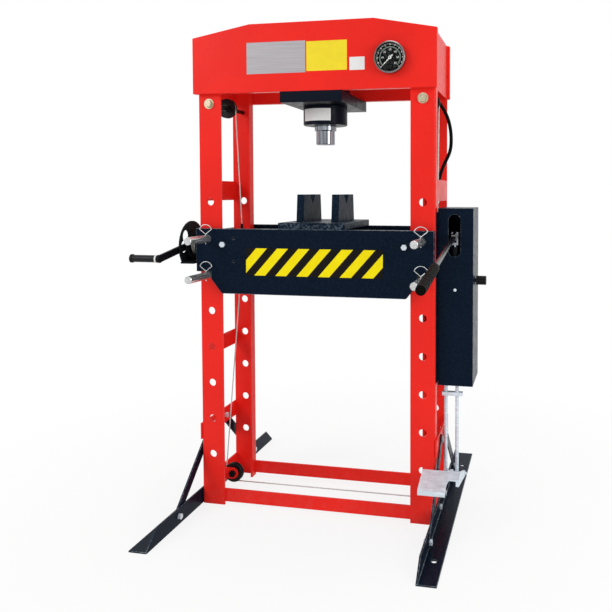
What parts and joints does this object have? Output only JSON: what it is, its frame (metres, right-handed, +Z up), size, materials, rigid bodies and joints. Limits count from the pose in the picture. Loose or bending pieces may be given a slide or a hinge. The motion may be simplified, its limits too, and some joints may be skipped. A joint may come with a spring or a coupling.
{
  "type": "hydraulic shop press",
  "caption": "Floor-standing hydraulic shop press: red angle-iron frame, ram under a deep crown, pinned winch-lifted table, hand and foot pump box on the side.",
  "frame": {"origin": "on the floor at the centre of the four anchor holes, under the ram's axis", "axes": "+Z up along the ram, -Y to the front with the gauge, +X to the pump's side"},
  "size_m": [1.254, 1.3555, 1.81],
  "materials": {
    "red_paint": "gloss paint",
    "navy_paint": "satin paint",
    "zinc": "zinc plated",
    "chrome": "hard chrome",
    "black_steel": "blackened",
    "black_plastic": "satin",
    "grip_rubber": "matte",
    "hose_rubber": "matte",
    "dial": "printed",
    "needle": "white paint",
    "lens": "clear",
    "rope": "stranded wire"
  },
  "bodies": {
    "frame": {"left_front_upright": "red_paint", "left_rear_upright": "red_paint", "right_front_upright": "red_paint", "right_rear_upright": "red_paint", "side_straps": "red_paint", "front_tie_bar": "red_paint", "rear_tie_bar": "red_paint", "crown_front_plate": "red_paint", "crown_rear_plate": "red_paint", "crown_end_plates": "red_paint", "low_pulley_brackets": "red_paint", "left_foot": "navy_paint", "right_foot": "navy_paint", "foot_braces": "navy_paint", "cylinder_mount_plate": "navy_paint", "cylinder_body": "navy_paint", "cylinder_lock_ring": "navy_paint", "table_front_plate": "navy_paint", "table_rear_plate": "navy_paint", "table_ties": "navy_paint", "pump_back_plate": "navy_paint", "pump_box": "navy_paint", "lever_bracket": "navy_paint", "frame_bolts": "zinc", "table_tie_bolts": "zinc", "high_axles": "zinc", "low_axles": "zinc", "foot_hanger": "zinc", "gauge_case": "chrome", "left_arbour_plate": "black_steel", "right_arbour_plate": "black_steel", "left_v_block": "black_steel", "right_v_block": "black_steel", "winch_frame": "black_steel", "oil_tank": "black_steel", "pressure_hose": "hose_rubber", "gauge_dial": "dial", "gauge_lens": "lens", "lift_rope": "rope", "level_rope": "rope"},
    "ram": {"ram": "chrome", "ram_tip": "chrome"},
    "needle": {"gauge_needle": "needle"},
    "hand_lever": {"hand_lever": "zinc", "lever_grip": "grip_rubber"},
    "plunger": {"pump_plunger": "chrome"},
    "release_knob": {"release_knob": "black_plastic"},
    "pedal": {"foot_pedal": "zinc"},
    "foot_rod": {"foot_rod": "zinc"},
    "winch": {"winch_drum": "black_steel", "winch_crank": "black_steel"},
    "crank_grip": {"crank_grip": "black_plastic"},
    "left_high_pulley": {"left_high_pulley": "black_plastic"},
    "right_high_pulley": {"right_high_pulley": "black_plastic"},
    "left_low_pulley": {"left_low_pulley": "black_plastic"},
    "right_low_pulley": {"right_low_pulley": "black_plastic"},
    "left_high_pin": {"left_high_pin": "zinc"},
    "left_low_pin": {"left_low_pin": "zinc"},
    "right_high_pin": {"right_high_pin": "zinc"},
    "right_low_pin": {"right_low_pin": "zinc"}
  },
  "joints": [
    {"name": "ram_slide", "type": "slide", "parent": "frame", "child": "ram", "axis": [0, 0, -1], "range_m": [0, 0.16]},
    {"name": "needle_turn", "type": "hinge", "parent": "frame", "child": "needle", "pos_m": [0.296, -0.19, 1.667], "axis": [0, 1, 0], "range_deg": [0, 270], "stiffness_Nm_per_rad": 0.002, "springref_deg": -11.46},
    {"name": "hand_lever_swing", "type": "hinge", "parent": "frame", "child": "hand_lever", "pos_m": [0.515, -0.069, 1.046], "axis": [-1, 0, 0], "range_deg": [0, 52]},
    {"name": "plunger_slide", "type": "slide", "parent": "frame", "child": "plunger", "axis": [0, 0, 1], "range_m": [0, 0.021]},
    {"name": "release_knob_turn", "type": "hinge", "parent": "frame", "child": "release_knob", "pos_m": [0.59, -0.022, 0.873], "axis": [1, 0, 0], "range_deg": [0, 270]},
    {"name": "pedal_swing", "type": "hinge", "parent": "frame", "child": "pedal", "pos_m": [0.52, -0.06038, 0.162], "axis": [1, 0, 0], "range_deg": [0, 20], "stiffness_Nm_per_rad": 5, "springref_deg": -45.84},
    {"name": "foot_rod_slide", "type": "slide", "parent": "frame", "child": "foot_rod", "axis": [0, 0, -1], "range_m": [0, 0.009]},
    {"name": "winch_turn", "type": "hinge", "parent": "frame", "child": "winch", "pos_m": [-0.5, -0.109, 0.9913], "axis": [1, 0, 0], "continuous": true},
    {"name": "crank_grip_turn", "type": "hinge", "parent": "winch", "child": "crank_grip", "pos_m": [-0.52, -0.31938, 0.95798], "axis": [1, 0, 0], "continuous": true},
    {"name": "left_high_pulley_turn", "type": "hinge", "parent": "frame", "child": "left_high_pulley", "pos_m": [-0.407, 0, 1.528], "axis": [0, 1, 0], "continuous": true},
    {"name": "right_high_pulley_turn", "type": "hinge", "parent": "frame", "child": "right_high_pulley", "pos_m": [0.407, 0, 1.528], "axis": [0, 1, 0], "continuous": true},
    {"name": "left_low_pulley_turn", "type": "hinge", "parent": "frame", "child": "left_low_pulley", "pos_m": [-0.393, 0, 0.064], "axis": [0, 1, 0], "continuous": true},
    {"name": "right_low_pulley_turn", "type": "hinge", "parent": "frame", "child": "right_low_pulley", "pos_m": [0.393, 0, 0.064], "axis": [0, 1, 0], "continuous": true},
    {"name": "left_high_pin_slide", "type": "slide", "parent": "frame", "child": "left_high_pin", "axis": [0, -1, 0], "range_m": [0, 0.3]},
    {"name": "left_low_pin_slide", "type": "slide", "parent": "frame", "child": "left_low_pin", "axis": [0, -1, 0], "range_m": [0, 0.3]},
    {"name": "right_high_pin_slide", "type": "slide", "parent": "frame", "child": "right_high_pin", "axis": [0, -1, 0], "range_m": [0, 0.3]},
    {"name": "right_low_pin_slide", "type": "slide", "parent": "frame", "child": "right_low_pin", "axis": [0, -1, 0], "range_m": [0, 0.3]}
  ],
  "couplings": [
    {"joint": "plunger_slide", "follows": "hand_lever_swing", "m_per_rad": 0.0227},
    {"joint": "foot_rod_slide", "follows": "pedal_swing", "m_per_rad": 0.02487},
    {"joint": "left_high_pulley_turn", "follows": "winch_turn", "ratio": 0.9125},
    {"joint": "right_high_pulley_turn", "follows": "winch_turn", "ratio": -0.9125},
    {"joint": "left_low_pulley_turn", "follows": "winch_turn", "ratio": -0.9125},
    {"joint": "right_low_pulley_turn", "follows": "winch_turn", "ratio": -0.9125}
  ]
}
